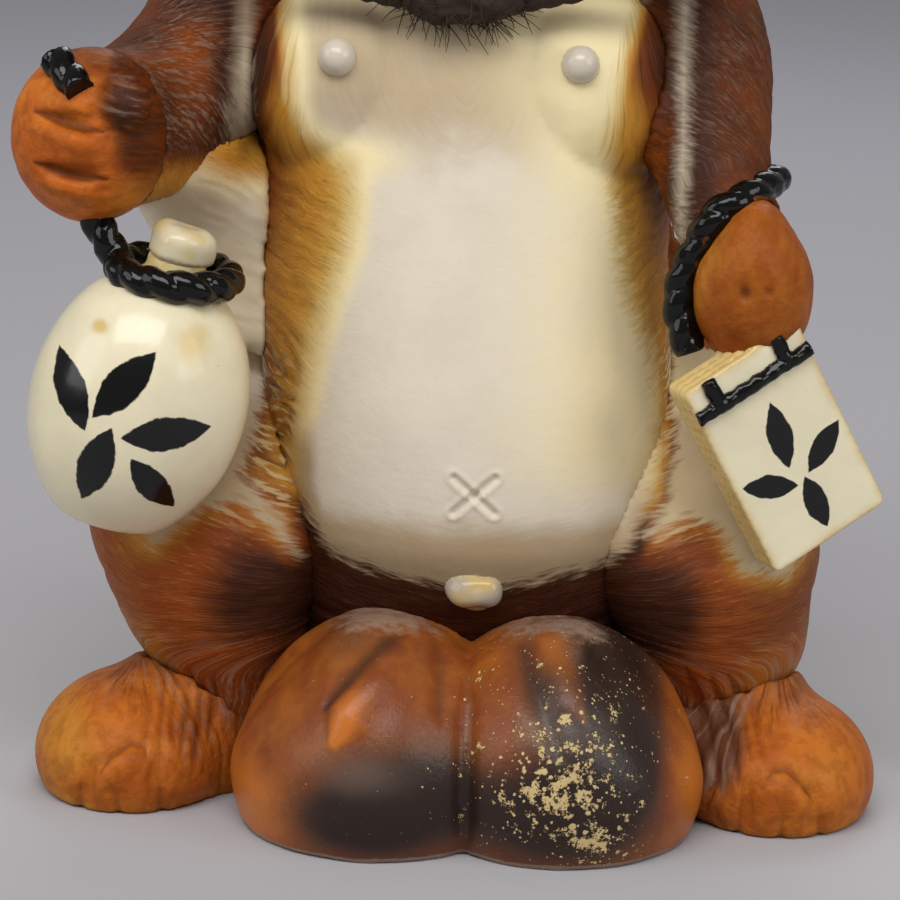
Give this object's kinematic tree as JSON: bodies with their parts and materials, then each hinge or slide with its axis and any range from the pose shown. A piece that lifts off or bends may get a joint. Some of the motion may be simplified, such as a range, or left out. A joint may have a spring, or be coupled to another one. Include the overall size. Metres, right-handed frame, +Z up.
{
  "type": "tanuki statue",
  "caption": "Standing glazed stoneware tanuki with a round pale belly, sake bottle, account book and big pouch, and a tied-on straw hat that tilts on its head",
  "frame": {"origin": "middle of the object's footprint box, on the floor", "axes": "+Z up, the figure faces -Y, its left side is +X"},
  "size_m": [0.327, 0.2888, 0.5211],
  "materials": {
    "body_glaze": "cream glaze on the belly with combed amber and rust fur at the sides",
    "fur_glaze": "combed fur under a streaky rust to dark brown glaze",
    "paw_glaze": "satin orange-rust glaze",
    "pouch_glaze": "satin rust glaze with purple-black shading and flaked cream specks",
    "cream_glaze": "glossy cream glaze",
    "black_glaze": "glossy black glaze",
    "bare_clay": "unglazed stoneware",
    "straw": "woven straw",
    "bamboo": "split bamboo",
    "palm_fibre": "coarse hairy palm-fibre rope"
  },
  "bodies": {
    "statue": {"account_book": "cream_glaze", "book_binding": "black_glaze", "book_cord": "black_glaze", "bottle": "cream_glaze", "bottle_cord": "black_glaze", "bottle_cord_end": "black_glaze", "bottle_stopper": "cream_glaze", "chin_knot": "palm_fibre", "head_back_shell": "body_glaze", "head_face_shell": "body_glaze", "left_arm": "fur_glaze", "left_chin_cord": "palm_fibre", "left_ear": "fur_glaze", "left_eye": "black_glaze", "left_fist": "paw_glaze", "left_foot": "paw_glaze", "left_leg": "fur_glaze", "left_seam_coil": "bare_clay", "left_teat": "cream_glaze", "loin_nub": "cream_glaze", "neck_coil": "fur_glaze", "nose": "black_glaze", "pouch_shell": "pouch_glaze", "right_arm": "fur_glaze", "right_chin_cord": "palm_fibre", "right_ear": "fur_glaze", "right_eye": "black_glaze", "right_fist": "paw_glaze", "right_foot": "paw_glaze", "right_leg": "fur_glaze", "right_seam_coil": "bare_clay", "right_teat": "cream_glaze", "right_web": "fur_glaze", "tail": "fur_glaze", "torso_back_shell": "body_glaze", "torso_front_shell": "body_glaze"},
    "hat": {"hat_button": "bamboo", "hat_cone": "straw", "hat_head_ring": "straw", "hat_ribs": "bamboo", "hat_rim_hoop": "bamboo"}
  },
  "joints": [
    {"name": "hat_tilt", "type": "hinge", "parent": "statue", "child": "hat", "pos_m": [-0.00063, 0.01005, 0.392], "axis": [-1, 0, 0], "range_deg": [0, 15]}
  ]
}
